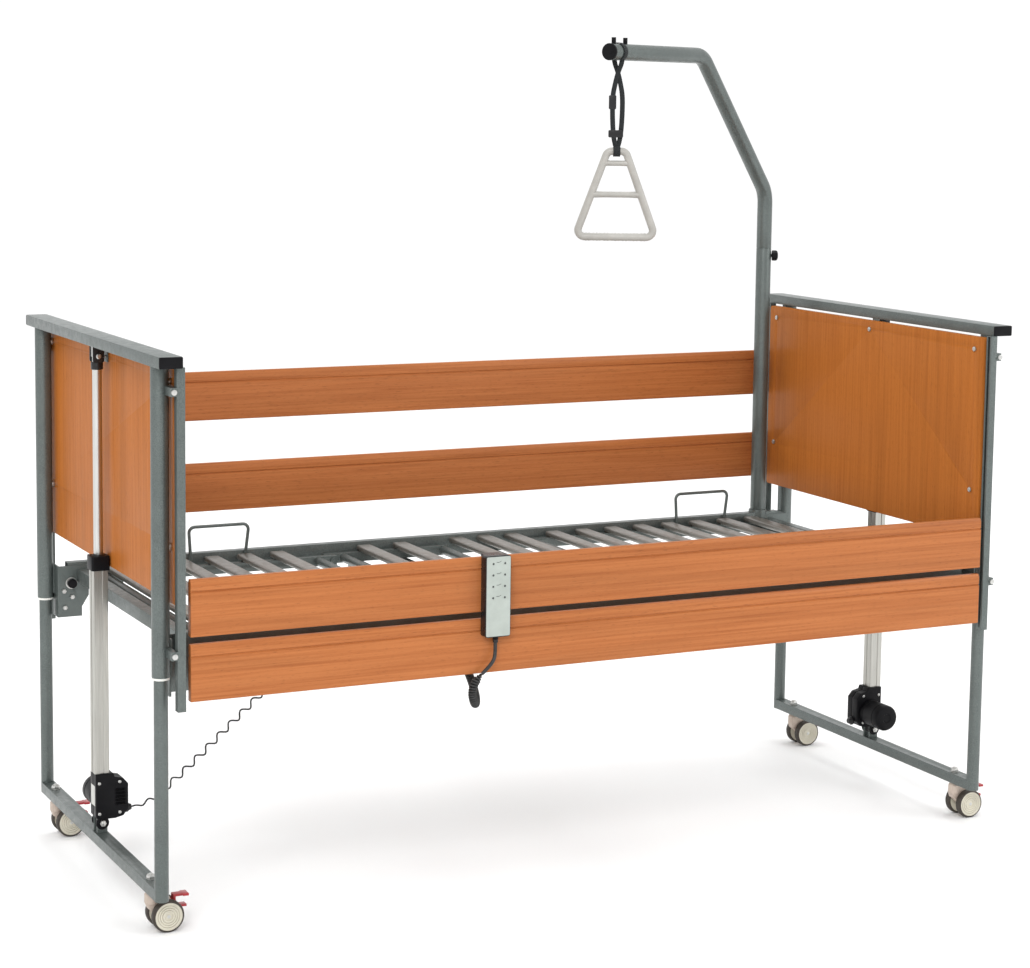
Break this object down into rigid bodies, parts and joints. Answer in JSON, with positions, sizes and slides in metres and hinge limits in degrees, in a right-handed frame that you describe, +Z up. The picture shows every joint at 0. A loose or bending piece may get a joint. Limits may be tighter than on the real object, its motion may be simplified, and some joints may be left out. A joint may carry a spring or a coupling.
{
  "type": "adjustable hospital bed",
  "caption": "Height-adjustable care bed with laminate ends, sliding side rails, hinged lying surface, lifting pole, handset and braked casters.",
  "frame": {"origin": "on the floor, under the middle of the lying surface", "axes": "+X towards the head end, +Y towards the side with the lifting pole, +Z up"},
  "size_m": [2.183, 1.0516, 1.9135],
  "materials": {
    "frame_paint": "powder coat",
    "slat_paint": "powder coat",
    "beech_laminate": "satin laminate",
    "bright_steel": "satin",
    "column_aluminium": "anodised",
    "black_plastic": "moulded",
    "white_plastic": "moulded",
    "caster_plastic": "moulded",
    "tyre_rubber": "matte",
    "red_plastic": "gloss",
    "handset_grey": "satin",
    "key_grey": "matte",
    "handle_plastic": "satin",
    "strap_webbing": "woven",
    "lead_rubber": "matte"
  },
  "bodies": {
    "root": {"posts": "frame_paint", "post_bushes": "white_plastic", "top_rails": "frame_paint", "rail_end_caps": "black_plastic", "end_panels": "beech_laminate", "rail_guides": "frame_paint", "frame_bolts": "bright_steel", "corner_brackets": "frame_paint", "lift_rods": "bright_steel", "deck_frame": "frame_paint", "seat_slats": "slat_paint", "mattress_bows": "frame_paint", "drive_housings": "black_plastic", "control_box": "black_plastic", "pole_socket": "frame_paint", "pole_lower_tube": "frame_paint", "foot_motor_lead": "lead_rubber", "handset_curl": "lead_rubber"},
    "foot_base": {"foot_base_frame": "frame_paint", "foot_column": "column_aluminium", "foot_lift_motor": "black_plastic"},
    "head_base": {"head_base_frame": "frame_paint", "head_column": "column_aluminium", "head_lift_motor": "black_plastic"},
    "near_upper": {"near_upper_rail": "beech_laminate", "handset": "handset_grey", "handset_lead": "lead_rubber"},
    "near_lower": {"near_lower_rail": "beech_laminate"},
    "far_upper": {"far_upper_rail": "beech_laminate"},
    "far_lower": {"far_lower_rail": "beech_laminate"},
    "back": {"back_section": "frame_paint"},
    "thigh": {"thigh_section": "frame_paint"},
    "calf": {"calf_section": "frame_paint"},
    "back_rod": {"back_drive_rod": "bright_steel"},
    "leg_rod": {"leg_drive_rod": "bright_steel"},
    "arm": {"pole_arm": "frame_paint", "arm_cap_and_pegs": "black_plastic"},
    "pole_knob": {"pole_clamp_knob": "black_plastic"},
    "pull": {"pull_handle": "handle_plastic", "pull_strap": "strap_webbing"},
    "foot_near_caster": {"foot_near_caster_fork": "caster_plastic"},
    "foot_near_caster_wheels": {"foot_near_caster_wheels": "tyre_rubber"},
    "foot_near_brake": {"foot_near_brake_pedal": "red_plastic"},
    "foot_far_caster": {"foot_far_caster_fork": "caster_plastic"},
    "foot_far_caster_wheels": {"foot_far_caster_wheels": "tyre_rubber"},
    "foot_far_brake": {"foot_far_brake_pedal": "red_plastic"},
    "head_near_caster": {"head_near_caster_fork": "caster_plastic"},
    "head_near_caster_wheels": {"head_near_caster_wheels": "tyre_rubber"},
    "head_near_brake": {"head_near_brake_pedal": "red_plastic"},
    "head_far_caster": {"head_far_caster_fork": "caster_plastic"},
    "head_far_caster_wheels": {"head_far_caster_wheels": "tyre_rubber"},
    "head_far_brake": {"head_far_brake_pedal": "red_plastic"},
    "key_1": {"handset_key_1": "key_grey"},
    "key_2": {"handset_key_2": "key_grey"},
    "key_3": {"handset_key_3": "key_grey"},
    "key_4": {"handset_key_4": "key_grey"},
    "key_5": {"handset_key_5": "key_grey"},
    "key_6": {"handset_key_6": "key_grey"},
    "key_7": {"handset_key_7": "key_grey"},
    "key_8": {"handset_key_8": "key_grey"}
  },
  "joints": [
    {"name": "foot_lift", "type": "slide", "parent": "root", "child": "foot_base", "axis": [0, 0, 1], "range_m": [0, 0.4], "deforming": ["foot_motor_lead"]},
    {"name": "head_lift", "type": "slide", "parent": "root", "child": "head_base", "axis": [0, 0, 1], "range_m": [0, 0.4]},
    {"name": "near_rail_raise", "type": "slide", "parent": "root", "child": "near_upper", "axis": [0, 0, 1], "range_m": [0, 0.31], "deforming": ["handset_curl"]},
    {"name": "near_lower_follow", "type": "slide", "parent": "root", "child": "near_lower", "axis": [0, 0, 1], "range_m": [0, 0.219]},
    {"name": "far_rail_lower", "type": "slide", "parent": "root", "child": "far_upper", "axis": [0, 0, -1], "range_m": [0, 0.31]},
    {"name": "far_lower_follow", "type": "slide", "parent": "root", "child": "far_lower", "axis": [0, 0, -1], "range_m": [0, 0.219]},
    {"name": "back_lift", "type": "hinge", "parent": "root", "child": "back", "pos_m": [0.238, 0, 0.62], "axis": [0, -1, 0], "range_deg": [0, 70]},
    {"name": "back_rod_slide", "type": "slide", "parent": "root", "child": "back_rod", "axis": [1, 0, 0], "range_m": [0, 0.1263]},
    {"name": "thigh_lift", "type": "hinge", "parent": "root", "child": "thigh", "pos_m": [-0.026, 0, 0.62], "axis": [0, 1, 0], "range_deg": [0, 30]},
    {"name": "leg_rod_slide", "type": "slide", "parent": "root", "child": "leg_rod", "axis": [-1, 0, 0], "range_m": [0, 0.0571]},
    {"name": "knee_bend", "type": "hinge", "parent": "thigh", "child": "calf", "pos_m": [-0.339, 0, 0.62], "axis": [0, -1, 0], "range_deg": [0, 45.01]},
    {"name": "foot_near_swivel", "type": "hinge", "parent": "foot_base", "child": "foot_near_caster", "pos_m": [-1.039, -0.37, 0.07], "axis": [0, 0, 1], "continuous": true},
    {"name": "foot_near_wheel_spin", "type": "hinge", "parent": "foot_near_caster", "child": "foot_near_caster_wheels", "pos_m": [-1.009, -0.37, 0.035], "axis": [0, 1, 0], "continuous": true},
    {"name": "foot_near_brake", "type": "hinge", "parent": "foot_near_caster", "child": "foot_near_brake", "pos_m": [-0.99, -0.37, 0.06], "axis": [0, 1, 0], "range_deg": [0, 12]},
    {"name": "foot_far_swivel", "type": "hinge", "parent": "foot_base", "child": "foot_far_caster", "pos_m": [-1.039, 0.37, 0.07], "axis": [0, 0, 1], "continuous": true},
    {"name": "foot_far_wheel_spin", "type": "hinge", "parent": "foot_far_caster", "child": "foot_far_caster_wheels", "pos_m": [-1.009, 0.37, 0.035], "axis": [0, 1, 0], "continuous": true},
    {"name": "foot_far_brake", "type": "hinge", "parent": "foot_far_caster", "child": "foot_far_brake", "pos_m": [-0.99, 0.37, 0.06], "axis": [0, 1, 0], "range_deg": [0, 12]},
    {"name": "head_near_swivel", "type": "hinge", "parent": "head_base", "child": "head_near_caster", "pos_m": [1.039, -0.37, 0.07], "axis": [0, 0, 1], "continuous": true},
    {"name": "head_near_wheel_spin", "type": "hinge", "parent": "head_near_caster", "child": "head_near_caster_wheels", "pos_m": [1.069, -0.37, 0.035], "axis": [0, 1, 0], "continuous": true},
    {"name": "head_near_brake", "type": "hinge", "parent": "head_near_caster", "child": "head_near_brake", "pos_m": [1.088, -0.37, 0.06], "axis": [0, 1, 0], "range_deg": [0, 12]},
    {"name": "head_far_swivel", "type": "hinge", "parent": "head_base", "child": "head_far_caster", "pos_m": [1.039, 0.37, 0.07], "axis": [0, 0, 1], "continuous": true},
    {"name": "head_far_wheel_spin", "type": "hinge", "parent": "head_far_caster", "child": "head_far_caster_wheels", "pos_m": [1.069, 0.37, 0.035], "axis": [0, 1, 0], "continuous": true},
    {"name": "head_far_brake", "type": "hinge", "parent": "head_far_caster", "child": "head_far_brake", "pos_m": [1.088, 0.37, 0.06], "axis": [0, 1, 0], "range_deg": [0, 12]},
    {"name": "pole_swivel", "type": "hinge", "parent": "root", "child": "arm", "pos_m": [0.938, 0.422, 1.372], "axis": [0, 0, 1], "range_deg": [-45, 60]},
    {"name": "pole_knob_turn", "type": "hinge", "parent": "root", "child": "pole_knob", "pos_m": [0.938, 0.422, 1.352], "axis": [0.8988, -0.4384, 0], "range_deg": [0, 180]},
    {"name": "handle_swing", "type": "hinge", "parent": "arm", "child": "pull", "pos_m": [0.27289, 0.038, 1.8785], "axis": [-0.866, -0.5, 0], "range_deg": [-45, 45]},
    {"name": "key_1_press", "type": "slide", "parent": "near_upper", "child": "key_1", "axis": [0, 1, 0], "range_m": [0, 0.001], "stiffness_N_per_m": 500, "springref_m": -0.001},
    {"name": "key_2_press", "type": "slide", "parent": "near_upper", "child": "key_2", "axis": [0, 1, 0], "range_m": [0, 0.001], "stiffness_N_per_m": 500, "springref_m": -0.001},
    {"name": "key_3_press", "type": "slide", "parent": "near_upper", "child": "key_3", "axis": [0, 1, 0], "range_m": [0, 0.001], "stiffness_N_per_m": 500, "springref_m": -0.001},
    {"name": "key_4_press", "type": "slide", "parent": "near_upper", "child": "key_4", "axis": [0, 1, 0], "range_m": [0, 0.001], "stiffness_N_per_m": 500, "springref_m": -0.001},
    {"name": "key_5_press", "type": "slide", "parent": "near_upper", "child": "key_5", "axis": [0, 1, 0], "range_m": [0, 0.001], "stiffness_N_per_m": 500, "springref_m": -0.001},
    {"name": "key_6_press", "type": "slide", "parent": "near_upper", "child": "key_6", "axis": [0, 1, 0], "range_m": [0, 0.001], "stiffness_N_per_m": 500, "springref_m": -0.001},
    {"name": "key_7_press", "type": "slide", "parent": "near_upper", "child": "key_7", "axis": [0, 1, 0], "range_m": [0, 0.001], "stiffness_N_per_m": 500, "springref_m": -0.001},
    {"name": "key_8_press", "type": "slide", "parent": "near_upper", "child": "key_8", "axis": [0, 1, 0], "range_m": [0, 0.001], "stiffness_N_per_m": 500, "springref_m": -0.001}
  ],
  "couplings": [
    {"joint": "head_lift", "follows": "foot_lift", "ratio": 1},
    {"joint": "near_lower_follow", "follows": "near_rail_raise", "ratio": 0.70645},
    {"joint": "far_lower_follow", "follows": "far_rail_lower", "ratio": 0.70645},
    {"joint": "back_rod_slide", "follows": "back_lift", "m_per_rad": 0.10329},
    {"joint": "leg_rod_slide", "follows": "thigh_lift", "m_per_rad": 0.10875},
    {"joint": "knee_bend", "follows": "thigh_lift", "ratio": 1.5}
  ]
}
